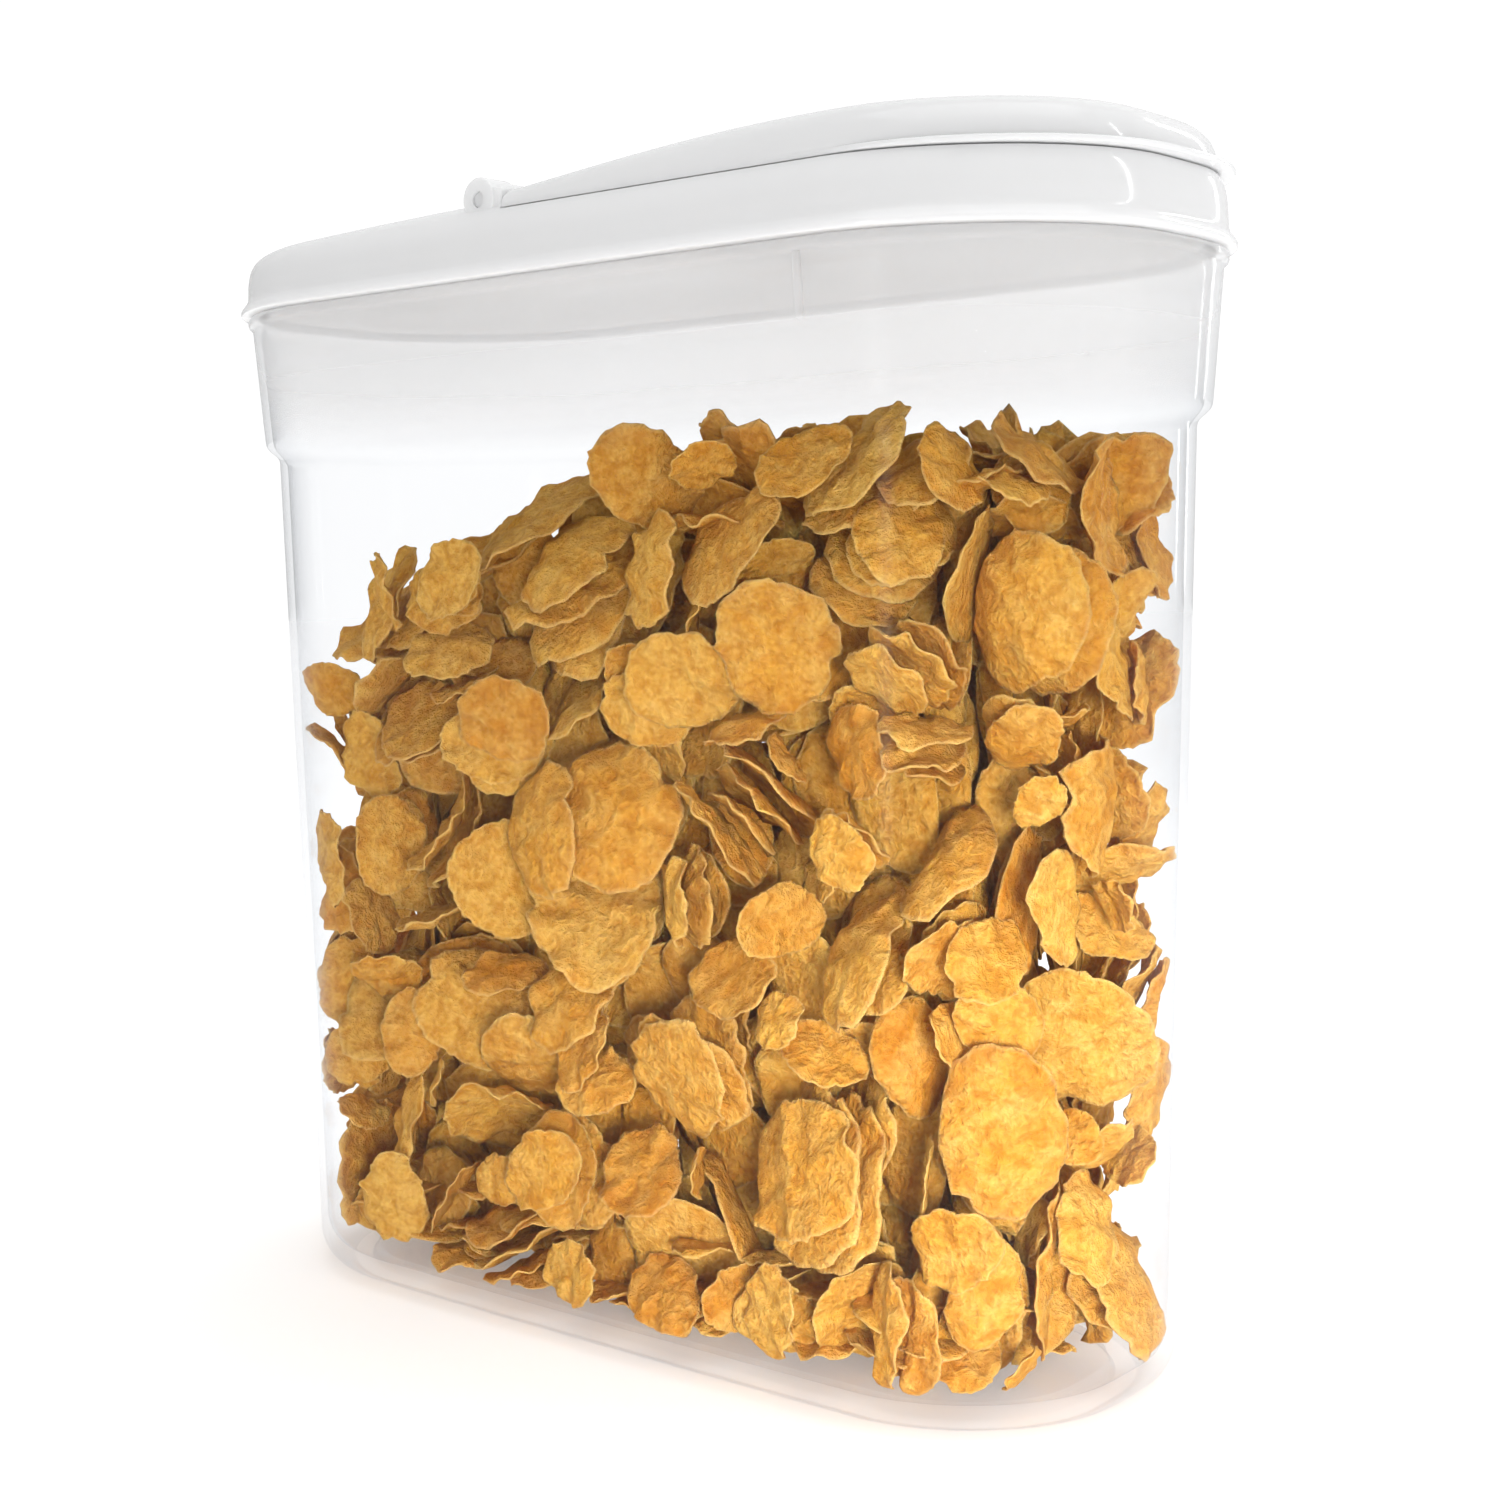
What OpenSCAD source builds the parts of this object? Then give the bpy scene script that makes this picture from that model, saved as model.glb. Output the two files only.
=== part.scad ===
// Flip-top cereal dispenser: clear container, push-fit lid, hinged pour flap.
// Origin on the table under the middle of the base, +X towards the pouring end, +Z up. Millimetres.

/* [Container] */
// Outer length of the body just under the ledge
body_len = 234; // [226:1:240]
// Outer width of the body just under the ledge
body_wid = 94; // [90:1:100]
// Outer length where the walls meet the base
foot_len = 226; // [220:1:230]
// Outer width where the walls meet the base
foot_wid = 90; // [86:1:94]
// Corner radius of the body in plan
corner_r = 38; // [30:1:40]
// How far each end wall bows out
end_bow = 4.5; // [2:0.5:6]
// How far each long wall bows out
side_bow = 1.2; // [0:0.2:2]
// Wall thickness
wall = 1.8; // [1.4:0.1:2.2]
// Radius of the edge between walls and base
base_r = 8; // [5:1:10]
// Height of the recess under the base
recess_h = 3; // [2:0.5:4]
// Height of the ledge where the collar starts
ledge_z = 200; // [190:1:205]
// How far the collar steps out of the body
collar_step = 3.2; // [2.5:0.1:3.5]

/* [Lid] */
// Height of the lid's lower edge
lid_z = 229.6; // [228:0.2:230]
// Height of the seat that the flap closes on
seat_z = 243.4; // [243:0.1:244]
// How far the lid's top falls towards the rear end
rear_drop = 3.6; // [2:0.1:4]
// Length of the pouring opening
mouth_len = 90; // [80:1:92]
// Width of the pouring opening
mouth_wid = 70; // [60:1:72]
// Middle of the pouring opening along X
mouth_x = 60; // [58:1:61]

/* [Flap and hinge] */
// Height of the flap above its seat at the pouring end
flap_h = 11.4; // [9:0.2:12]
// Height of the flap above its seat at the hinge
flap_rear_h = 5.4; // [5:0.2:6]
// How far the thumb lip stands out at the front
lip_out = 3.6; // [3:0.1:3.7]
// Hinge axis along X
hinge_x = -15; // [-16:0.5:-14]
// Hinge axis height
hinge_z = 246; // [245.8:0.1:246.2]
// Radius of the lid's knuckles
knuckle_r = 4.6; // [4.4:0.1:4.8]
// Radius of the hinge pins
pin_r = 1.6; // [1.4:0.1:1.8]

/* [Hidden] */
$fn = 48;
fit = 0.05;              // radial running clearance of a pin in a knuckle
rim_z = 236.4;           // top of the container's rim
ceil_z = 238.4;          // top of the lid's rim channel
flap_x = -8;             // rear face of the flap
knuckle_in = 43.6;       // inner face of each lid knuckle, across Y
knuckle_out = 51.2;      // outer face of each lid knuckle
rib_x = 70;              // place of the upright ribs
nc = 8;                  // segments in each corner
ns = 8;                  // segments along each long side
ne = 4;                  // segments along each end

// ---- plan curve: a rounded rectangle with bowed ends and sides ----
function sgn(v) = v < 0 ? -1 : 1;
function arc(cx, cy, r, a0, k) = [for (i = [0:k]) let (a = a0 + 90 * i / k) [cx + r * cos(a), cy + r * sin(a)]];
function seg(a, b, k) = [for (i = [1:1:k - 1]) a + (b - a) * i / k];
function rrect(l, w, r) =
    let (x = l / 2 - r, y = w / 2 - r)
    concat(arc(x, y, r, 0, nc), seg([x, w / 2], [-x, w / 2], ns),
           arc(-x, y, r, 90, nc), seg([-l / 2, y], [-l / 2, -y], ne),
           arc(-x, -y, r, 180, nc), seg([-x, -w / 2], [x, -w / 2], ns),
           arc(x, -y, r, 270, nc), seg([l / 2, -y], [l / 2, y], ne));
function bowed(p, l, w, e, s) =
    [for (q = p) [q[0] + sgn(q[0]) * e * (1 - pow(min(1, abs(2 * q[1] / w)), 2)) * pow(2 * q[0] / l, 2),
                  q[1] + sgn(q[1]) * s * (1 - pow(min(1, abs(2 * q[0] / l)), 2)) * pow(2 * q[1] / w, 2)]];
function plan(L, W, r) =
    let (l = L - 2 * end_bow, w = W - 2 * side_bow)
    bowed(rrect(l, w, min(r, w / 2 - 1)), l, w, end_bow, side_bow);
// plan curve offset by o from the body's at the ledge
function lplan(o) = plan(body_len + 2 * o, body_wid + 2 * o, corner_r + o);
// the pouring opening's own plan, offset by o
function mplan(o) =
    let (l = mouth_len + 2 * o - 6, w = mouth_wid + 2 * o)
    [for (q = bowed(rrect(l, w, 26 + o), l, w, 3, 0)) q + [mouth_x, 0]];

// ---- a closed solid through a stack of loops of equal length, capped at both ends ----
// The caps are strips across Y, so each stays flat where the height varies along X.
function cap(n, k, up) = [for (j = [0:n / 2 - 1])
    let (a = (n - ne / 2 + j) % n + k, b = (n - ne / 2 + j + 1) % n + k,
         c = (2 * n - ne / 2 - j - 1) % n + k, d = (2 * n - ne / 2 - j) % n + k)
    each concat(c == b ? [] : [up ? [c, b, a] : [a, b, c]], a == d ? [] : [up ? [d, c, a] : [a, c, d]])];
module stack(loops) {
    n = len(loops[0]);
    m = len(loops);
    pts = [for (l = loops) each l];
    sides = [for (j = [0:m - 2]) for (i = [0:n - 1])
        let (a = j * n + i, b = j * n + (i + 1) % n, c = a + n, d = b + n) each [[a, c, d], [a, d, b]]];
    polyhedron(points = pts, faces = concat(cap(n, 0, false), sides, cap(n, (m - 1) * n, true)), convexity = 8);
}
// ---- a ring through loops that close on themselves ----
module ring(loops) {
    n = len(loops[0]);
    m = len(loops);
    pts = [for (l = loops) each l];
    sides = [for (j = [0:m - 1]) for (i = [0:n - 1])
        let (k = (j + 1) % m, a = j * n + i, b = j * n + (i + 1) % n, c = k * n + i, d = k * n + (i + 1) % n)
        each [[a, c, d], [a, d, b]]];
    polyhedron(points = pts, faces = sides, convexity = 8);
}
function flat(p, z) = [for (q = p) [q[0], q[1], z]];
// plan loop of the container at height z, offset by o: below the ledge it follows the draft
function cloop(z, o) =
    let (t = min(1, z / (ledge_z - 4.5)))
    flat(plan(foot_len + (body_len - foot_len) * t + 2 * o, foot_wid + (body_wid - foot_wid) * t + 2 * o, corner_r + o), z);

module container_shell() {
    cs = collar_step;
    stack(concat(
        [cloop(recess_h, -base_r - 6), cloop(0, -base_r - 5), cloop(0, -base_r)],
        [for (a = [22.5:22.5:90]) cloop(base_r * (1 - cos(a)), -base_r * (1 - sin(a)))],
        [cloop(ledge_z - 4.5, 0), cloop(ledge_z - 3.6, 0.4), cloop(ledge_z - 1.2, cs - 0.4), cloop(ledge_z, cs),
         cloop(226.7, cs + 2.1), cloop(226.9, cs + 2.9), cloop(227.4, cs + 3.1), cloop(228.8, cs + 3.1), cloop(229.2, cs + 2.8),
         cloop(229.2, 3.8), cloop(233.6, 3.6), cloop(234.4, 4.0), cloop(235.4, 4.0), cloop(rim_z, 3.3), cloop(rim_z, 2.7),
         cloop(rim_z - 0.6, 2.2), cloop(229, 2.1), cloop(226.5, cs + 2.1 - wall), cloop(ledge_z - 0.4, cs - wall),
         cloop(ledge_z - 5.4, -wall)],
        [for (a = [90:-22.5:22.5]) cloop(recess_h + 2 + (base_r - 2) * (1 - cos(a)), -wall - (base_r - 2) * (1 - sin(a)))],
        [cloop(recess_h + 2, -base_r - 2)]));
}

module container() color([0.93, 0.95, 0.97, 0.4]) {
    container_shell();
    // a short upright rib under the rim on each long side
    for (m = [0, 1]) mirror([0, m, 0])
        translate([rib_x - 0.9, 50.3, 214]) rotate([-4.5, 0, 0]) cube([1.8, 1.3, 12.9]);
}

// how much of the rear drop applies at x
function rear(x) = pow(max(0, min(1, (hinge_x - x) / 108)), 1.4);
function warp(p, z) = [for (q = p) [q[0], q[1], z - rear_drop * rear(q[0]) * max(0, min(1, (z - 236) / 10))]];
function lid_out() = [[lid_z, 7.7], [lid_z + 0.7, 7.95], [lid_z + 1.5, 7.4], [lid_z + 2.8, 6.5], [233.6, 6.15], [236.5, 6.05],
    [239.6, 5.75], [241.9, 5.2], [243.2, 4.6], [244.3, 3.6], [245.2, 2.0], [245.8, -0.4], [246.1, -4], [246.3, -12], [246.4, -26]];

module lid() color("white") difference() {
    union() {
        difference() {
            stack([for (s = lid_out()) warp(lplan(s[1]), s[0])]);
            // flap seat and the trough that the hinge barrel turns in
            translate([flap_x - 0.4, -80, seat_z]) cube([200, 160, 20]);
            translate([hinge_x - 5.2, -knuckle_in + 0.2, 241.2]) cube([14, 2 * knuckle_in - 0.4, 20]);
            // hollow under the top, inside the plug wall: lower under the seat and the trough
            stack([for (h = [[220, 0.0], [238.4, 0.0], [239.4, -1.0], [239.7, -4], [239.7, -26]]) flat(lplan(h[1]), h[0])]);
            intersection() {
                stack([for (h = [[230, -0.1], [239.6, -0.1], [241.2, -1.4], [241.7, -4], [241.7, -26]]) flat(lplan(h[1]), h[0])]);
                translate([-4, -80, 220]) cube([160, 160, 40]);
            }
            intersection() {
                stack([for (h = [[230, -0.1], [240.6, -0.1], [242.8, -1.4], [243.9, -4], [244.4, -12], [244.6, -26]]) warp(lplan(h[1]), h[0])]);
                translate([-200 + hinge_x - 7, -80, 220]) cube([200, 160, 40]);
            }
            // the channel that takes the rim and its gasket
            ring([for (s = [[220, 4.35], [ceil_z, 4.35], [ceil_z, 1.55], [220, 1.55]]) flat(lplan(s[1]), s[0])]);
            // below the plug wall
            stack([for (s = [[220, 3], [231, 3]]) flat(lplan(s[1]), s[0])]);
        }
        for (m = [0, 1]) mirror([0, m, 0]) {
            translate([hinge_x, knuckle_in, hinge_z]) rotate([-90, 0, 0]) cylinder(r = knuckle_r, h = knuckle_out - knuckle_in);
            translate([hinge_x - knuckle_r, knuckle_in, 242]) cube([2 * knuckle_r, 6.6, hinge_z - 242]);
            translate([hinge_x, knuckle_in, 242]) cube([6.4, knuckle_out - knuckle_in - 0.4, 6]);
        }
        // wall round the pouring opening
        translate([0, 0, 238.6]) linear_extrude(4) polygon(mplan(1.5));
    }
    translate([0, 0, 225]) linear_extrude(30) polygon(mplan(0));
    translate([hinge_x, 80, hinge_z]) rotate([90, 0, 0]) cylinder(r = pin_r + fit, h = 160);
}

// flap height factor along x
function rise(x) = flap_rear_h + (flap_h - flap_rear_h) * sin(90 * max(0, min(1, (x - flap_x) / 78)));
function puff(p, z) = [for (q = p) [q[0], q[1], seat_z + 0.3 + (z - seat_z - 0.3) * rise(q[0]) / flap_h]];
flap_out = [[seat_z + 0.3, 4.2], [246.4, 4.0], [248.8, 3.3], [250.8, 2.0], [252.3, 0], [253.3, -2.6], [253.9, -6], [254.4, -12], [254.8, -24]];
flap_in = [[seat_z - 3, 2.5], [246.2, 2.3], [248.2, 1.6], [249.8, 0.4], [250.9, -1.4], [251.6, -3.8], [252.1, -7], [252.5, -13], [252.8, -24]];

module flap() color("white") difference() {
    union() {
        intersection() {
            difference() {
                stack([for (s = flap_out) puff(lplan(s[1]), s[0])]);
                stack([for (s = flap_in) puff(lplan(s[1]), s[0])]);
            }
            translate([flap_x, -80, seat_z]) cube([200, 160, 20]);
        }
        // rear wall
        intersection() {
            stack([for (s = flap_out) puff(lplan(s[1]), s[0])]);
            translate([flap_x, -80, seat_z]) cube([1.8, 160, 20]);
        }
        // sealing wall that plugs the opening
        intersection() {
            stack(concat([flat(lplan(4.2), 230)], [for (h = flap_out) puff(lplan(h[1] - 0.4), h[0] - 0.6)]));
            difference() {
                translate([0, 0, 239.5]) linear_extrude(20) polygon(mplan(-1.6));
                translate([0, 0, 239]) linear_extrude(22) polygon(mplan(-3.2));
            }
        }
        // thumb lip
        intersection() {
            difference() {
                translate([lip_out, 0, seat_z + 0.3]) linear_extrude(1.4) polygon(lplan(4.2));
                translate([0, 0, seat_z]) linear_extrude(4) polygon(lplan(3));
            }
            translate([60, -80, seat_z]) cube([200, 160, 20]);
        }
        // hinge barrel and its web
        translate([hinge_x, knuckle_in - 0.4, hinge_z]) rotate([90, 0, 0]) cylinder(r = 4.2, h = 2 * knuckle_in - 0.8);
        translate([hinge_x, -knuckle_in + 0.4, hinge_z - 2]) cube([flap_x + 1 - hinge_x, 2 * knuckle_in - 0.8, 4.2]);
    }
    for (m = [0, 1]) mirror([0, m, 0])
        translate([hinge_x, 34, hinge_z]) rotate([-90, 0, 0]) cylinder(r = pin_r, h = 20);
}

module hinge_pin(s) color("whitesmoke")
    translate([hinge_x, s * 34, hinge_z]) rotate([s * -90, 0, 0]) cylinder(r = pin_r, h = 16.8);

module lid_gasket() color("gainsboro")
    ring([for (s = [[rim_z, 4.15], [ceil_z, 4.15], [ceil_z, 1.75], [rim_z, 1.75]]) flat(lplan(s[1]), s[0])]);

module flap_gasket() color("gainsboro")
    difference() {
        translate([0, 0, 241.2]) linear_extrude(1.6) polygon(mplan(-0.4));
        translate([0, 0, 241]) linear_extrude(2) polygon(mplan(-1.6));
    }

container();
lid();
flap();
hinge_pin(1);  // hinge_pin_left
hinge_pin(-1);  // hinge_pin_right
lid_gasket();
flap_gasket();
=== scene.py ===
import math
import bmesh
import bpy
import numpy as np
from mathutils import Matrix, Quaternion, Vector


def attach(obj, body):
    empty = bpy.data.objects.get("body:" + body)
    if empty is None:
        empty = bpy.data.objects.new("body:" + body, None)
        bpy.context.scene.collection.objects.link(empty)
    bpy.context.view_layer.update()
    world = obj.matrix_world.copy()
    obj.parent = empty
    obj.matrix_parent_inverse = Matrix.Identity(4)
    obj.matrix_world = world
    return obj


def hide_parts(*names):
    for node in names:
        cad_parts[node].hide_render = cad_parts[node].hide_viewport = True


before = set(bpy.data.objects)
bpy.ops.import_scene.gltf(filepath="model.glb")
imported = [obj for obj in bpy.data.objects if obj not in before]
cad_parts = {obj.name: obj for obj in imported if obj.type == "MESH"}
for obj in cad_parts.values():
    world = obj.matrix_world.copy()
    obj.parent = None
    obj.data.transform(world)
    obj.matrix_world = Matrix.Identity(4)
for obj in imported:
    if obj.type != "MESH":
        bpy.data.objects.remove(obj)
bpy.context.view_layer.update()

scene = bpy.context.scene
MM = 0.001

# ------------------------------------------------------------------ camera
right = Vector((0.7722782, 0.63507761, -0.0162116))
up = Vector((-0.03985472, 0.07390165, 0.99646884))
back = Vector((0.63403311, -0.76890505, 0.08238348))
cam_data = bpy.data.cameras.new("camera")
cam = bpy.data.objects.new("camera", cam_data)
scene.collection.objects.link(cam)
cam.matrix_world = Matrix((
    (right.x, up.x, back.x, 0.32698986), (right.y, up.y, back.y, -0.37944699),
    (right.z, up.z, back.z, 0.16855853), (0, 0, 0, 1)))
cam_data.sensor_width = 36
cam_data.lens = 53.14
cam_data.clip_start = 0.01
scene.camera = cam

# ------------------------------------------------------------------ plan curves, the same rules as the CAD, more finely cut
BODY_L, BODY_W, FOOT_L, FOOT_W, CORNER, END_BOW, SIDE_BOW = 234, 94, 226, 90, 38, 4.5, 1.2
SEAT, HINGE_X, HINGE_Z, FLAP_X, DROP = 243.4, -15.0, 246.0, -8.0, 3.6
LIP = 3.6
NC, NS, NE = 22, 30, 10


def rrect(l, w, r):
    x, y = l / 2 - r, w / 2 - r
    def arc(cx, cy, a0):
        return [(cx + r * math.cos(math.radians(a0 + 90 * i / NC)), cy + r * math.sin(math.radians(a0 + 90 * i / NC))) for i in range(NC + 1)]
    def seg(a, b, k):
        return [(a[0] + (b[0] - a[0]) * i / k, a[1] + (b[1] - a[1]) * i / k) for i in range(1, k)]
    return np.array(arc(x, y, 0) + seg((x, w / 2), (-x, w / 2), NS) + arc(-x, y, 90) + seg((-l / 2, y), (-l / 2, -y), NE)
                    + arc(-x, -y, 180) + seg((-x, -w / 2), (x, -w / 2), NS) + arc(x, -y, 270) + seg((l / 2, -y), (l / 2, y), NE))


def bowed(p, l, w, e, s):
    sx, sy = np.where(p[:, 0] < 0, -1, 1), np.where(p[:, 1] < 0, -1, 1)
    u, v = 2 * p[:, 0] / l, 2 * p[:, 1] / w
    return np.stack([p[:, 0] + sx * e * (1 - np.minimum(1, abs(v)) ** 2) * u ** 2,
                     p[:, 1] + sy * s * (1 - np.minimum(1, abs(u)) ** 2) * v ** 2], 1)


def plan(L, W, r):
    l, w = L - 2 * END_BOW, W - 2 * SIDE_BOW
    return bowed(rrect(l, w, min(r, w / 2 - 1)), l, w, END_BOW, SIDE_BOW)


def lplan(o):
    return plan(BODY_L + 2 * o, BODY_W + 2 * o, CORNER + o)


def mplan(o):
    l, w = 84 + 2 * o, 70 + 2 * o
    return bowed(rrect(l, w, 26 + o), l, w, 3, 0) + np.array([60, 0])


def flat(p, z):
    return np.column_stack([p, np.full(len(p), float(z))])


def cloop(z, o):
    t = min(1, z / 195.5)
    return flat(plan(FOOT_L + (BODY_L - FOOT_L) * t + 2 * o, FOOT_W + (BODY_W - FOOT_W) * t + 2 * o, CORNER + o), z)


def smooth_profile(pts, per=5):
    """A finer profile through (z, offset) points: centripetal curve between them, corners marked by a repeated point stay sharp."""
    out = []
    runs, run = [], [pts[0]]
    for a, b in zip(pts, pts[1:]):
        if a == b:
            runs.append(run)
            run = [b]
        else:
            run.append(b)
    runs.append(run)
    for run in runs:
        p = np.array(run, float)
        if len(p) < 3:
            fine = [tuple(q) for q in p]
        else:
            q = np.vstack([2 * p[0] - p[1], p, 2 * p[-1] - p[-2]])
            fine = []
            for i in range(1, len(q) - 2):
                p0, p1, p2, p3 = q[i - 1], q[i], q[i + 1], q[i + 2]
                t0 = 0.0
                t1 = t0 + max(1e-6, np.linalg.norm(p1 - p0)) ** 0.5
                t2 = t1 + max(1e-6, np.linalg.norm(p2 - p1)) ** 0.5
                t3 = t2 + max(1e-6, np.linalg.norm(p3 - p2)) ** 0.5
                n = max(1, min(per, int(np.linalg.norm(p2 - p1) / 0.5) + 1))
                for k in range(n):
                    t = t1 + (t2 - t1) * k / n
                    a1 = (t1 - t) / (t1 - t0) * p0 + (t - t0) / (t1 - t0) * p1
                    a2 = (t2 - t) / (t2 - t1) * p1 + (t - t1) / (t2 - t1) * p2
                    a3 = (t3 - t) / (t3 - t2) * p2 + (t - t2) / (t3 - t2) * p3
                    b1 = (t2 - t) / (t2 - t0) * a1 + (t - t0) / (t2 - t0) * a2
                    b2 = (t3 - t) / (t3 - t1) * a2 + (t - t1) / (t3 - t1) * a3
                    fine.append(tuple((t2 - t) / (t2 - t1) * b1 + (t - t1) / (t2 - t1) * b2))
            fine.append(tuple(p[-1]))
        out += fine if not out or out[-1] != fine[0] else fine[1:]
    return out


# ------------------------------------------------------------------ mesh helpers
def new_object(name, verts, faces):
    me = bpy.data.meshes.new(name)
    me.from_pydata([tuple(v) for v in verts], [], faces)
    me.update()
    ob = bpy.data.objects.new(name, me)
    scene.collection.objects.link(ob)
    return ob


def loft(name, loops, ring=False):
    """Loops in millimetres, outer bottom first. A stack is capped with strips across Y, a ring closes on itself."""
    n, m = len(loops[0]), len(loops)
    verts = np.vstack(loops) * MM
    faces = []
    for j in range(m if ring else m - 1):
        k = (j + 1) % m
        for i in range(n):
            faces.append((j * n + i, j * n + (i + 1) % n, k * n + (i + 1) % n, k * n + i))
    if not ring:
        for k, top in ((0, False), ((m - 1) * n, True)):
            for j in range(n // 2):
                a, b = (n - NE // 2 + j) % n, (n - NE // 2 + j + 1) % n
                c, d = (2 * n - NE // 2 - j - 1) % n, (2 * n - NE // 2 - j) % n
                q = [a + k, b + k] + ([c + k] if c != b else []) + ([d + k] if d != a else [])
                faces.append(tuple(q if top else q[::-1]))
    return new_object(name, verts, faces)


def prism(name, outline, z0, z1):
    return loft(name, [flat(outline, z0), flat(outline, z1)])


def cube(name, x0, y0, z0, x1, y1, z1, bevel=0.0, segments=3):
    bm = bmesh.new()
    bmesh.ops.create_cube(bm, size=1)
    for v in bm.verts:
        v.co = Vector(((x0 + x1) / 2 + v.co.x * (x1 - x0), (y0 + y1) / 2 + v.co.y * (y1 - y0), (z0 + z1) / 2 + v.co.z * (z1 - z0))) * MM
    if bevel:
        bmesh.ops.bevel(bm, geom=bm.edges[:], offset=bevel * MM, segments=segments, profile=0.5, affect="EDGES")
    me = bpy.data.meshes.new(name)
    bm.to_mesh(me)
    bm.free()
    ob = bpy.data.objects.new(name, me)
    scene.collection.objects.link(ob)
    return ob


def rod(name, x, z, r, y0, y1, seg=64, bevel=0.0):
    """A cylinder along Y with rounded end edges."""
    prof = [(0.0, y0)] + ([(r - bevel + bevel * math.sin(a), y0 + bevel * (1 - math.cos(a))) for a in np.linspace(0, math.pi / 2, 5)] if bevel else [(r, y0)])
    prof += ([(r - bevel + bevel * math.cos(a), y1 - bevel * (1 - math.sin(a))) for a in np.linspace(0, math.pi / 2, 5)] if bevel else [(r, y1)]) + [(0.0, y1)]
    verts, faces = [], []
    for k, (pr, py) in enumerate(prof[1:-1]):
        for i in range(seg):
            a = 2 * math.pi * i / seg
            verts.append(((x + pr * math.cos(a)) * MM, py * MM, (z + pr * math.sin(a)) * MM))
    m = len(prof) - 2
    for k in range(m - 1):
        for i in range(seg):
            j = (i + 1) % seg
            faces.append((k * seg + i, (k + 1) * seg + i, (k + 1) * seg + j, k * seg + j))
    faces.append(tuple(range(seg)))
    faces.append(tuple(range((m - 1) * seg, m * seg))[::-1])
    ob = new_object(name, verts, faces)
    bm = bmesh.new()
    bm.from_mesh(ob.data)
    bmesh.ops.recalc_face_normals(bm, faces=bm.faces)
    bm.to_mesh(ob.data)
    bm.free()
    return ob


def boolean(ob, other, op="DIFFERENCE", keep=False):
    mod = ob.modifiers.new("cut", "BOOLEAN")
    mod.operation = op
    mod.object = other
    try:
        mod.solver = "MANIFOLD"
    except TypeError:
        mod.solver = "EXACT"
    bpy.context.view_layer.update()
    me = bpy.data.meshes.new_from_object(ob.evaluated_get(bpy.context.evaluated_depsgraph_get()))
    ob.modifiers.clear()
    old = ob.data
    ob.data = me
    bpy.data.meshes.remove(old)
    if not keep:
        drop(other)
    return ob


def drop(ob):
    me = ob.data
    bpy.data.objects.remove(ob)
    if me.users == 0:
        bpy.data.meshes.remove(me)


def tidy(ob, angle=32):
    bm = bmesh.new()
    bm.from_mesh(ob.data)
    bmesh.ops.remove_doubles(bm, verts=bm.verts, dist=1e-6)
    bmesh.ops.dissolve_degenerate(bm, edges=bm.edges, dist=1e-6)
    bm.to_mesh(ob.data)
    bm.free()
    ob.data.shade_smooth()
    ob.data.set_sharp_from_angle(angle=math.radians(angle))
    return ob


def join_meshes(name, obs):
    bm = bmesh.new()
    for o in obs:
        bm.from_mesh(o.data)
    me = bpy.data.meshes.new(name)
    bm.to_mesh(me)
    bm.free()
    for o in obs:
        drop(o)
    ob = bpy.data.objects.new(name, me)
    scene.collection.objects.link(ob)
    return ob


# ------------------------------------------------------------------ container
def base_arc(z0, r, o, angles):
    return [(z0 + r * (1 - math.cos(math.radians(a))), o - r * (1 - math.sin(math.radians(a)))) for a in angles]


prof = [(3, -14), (3, -14), (0.9, -13.35), (0.2, -12.8), (0, -12.2), (0, -8)]
prof += base_arc(0, 8, 0, np.arange(9, 90.1, 9))
body = smooth_profile(prof[:6], 3) + prof[6:]
for z in (30, 60, 90, 120, 150, 175):
    body.append((z, 0))
ledge = smooth_profile([(194.6, 0), (195.8, 0.12), (196.8, 0.75), (198.2, 2.35), (199.2, 3.0), (200.3, 3.2)], 3)
rim_band = [(205, 3.6), (212, 4.15), (220, 4.77), (226.3, 5.27), (226.7, 5.45), (226.95, 5.85), (227.25, 6.15), (227.7, 6.3), (228.4, 6.3),
            (228.85, 6.22), (229.1, 6.0), (229.2, 5.7), (229.2, 3.85), (229.4, 3.74), (231.5, 3.66), (233.6, 3.62), (234.2, 3.8), (234.6, 3.97),
            (235.2, 4.0), (235.7, 3.85), (236.15, 3.55), (236.36, 3.3), (236.4, 3.0), (236.36, 2.75), (236.2, 2.45), (235.9, 2.25), (235.4, 2.2), (229, 2.15)]
inner = [(228.2, 2.3), (227, 2.9), (226, 3.35), (224, 3.32), (214, 2.5), (205, 1.85), (200.2, 1.45), (199.2, 1.25), (198.2, 0.75), (196.6, -0.6), (195.6, -1.3), (194.4, -1.75), (193, -1.8)]
inner += [(z, -1.8) for z in (175, 150, 120, 90, 60, 30)]
inner += base_arc(5, 6, -1.8, np.arange(90, 8.9, -9)) + [(5, -10)]
container = loft("container_shell", [cloop(z, o) for z, o in body + ledge + rim_band + inner])
for m in (-1, 1):
    rib = cube("rib", 69.1, 50.3, 214, 70.9, 51.6, 226.9, bevel=0.35)
    rib.data.transform(Matrix.Translation((0.07, 0.0503, 0.214)) @ Matrix.Rotation(math.radians(-4.5), 4, "X") @ Matrix.Translation((-0.07, -0.0503, -0.214)))
    if m < 0:
        rib.data.transform(Matrix.Scale(-1, 4, (0, 1, 0)))
        rib.data.flip_normals()
    boolean(container, rib, "UNION")
tidy(container, 40)


# ------------------------------------------------------------------ lid
def rear(x):
    return np.clip((HINGE_X - x) / 108, 0, 1) ** 1.4


def warp(p, z):
    return np.column_stack([p, z - DROP * rear(p[:, 0]) * min(1, max(0, (z - 236) / 10))])


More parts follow.
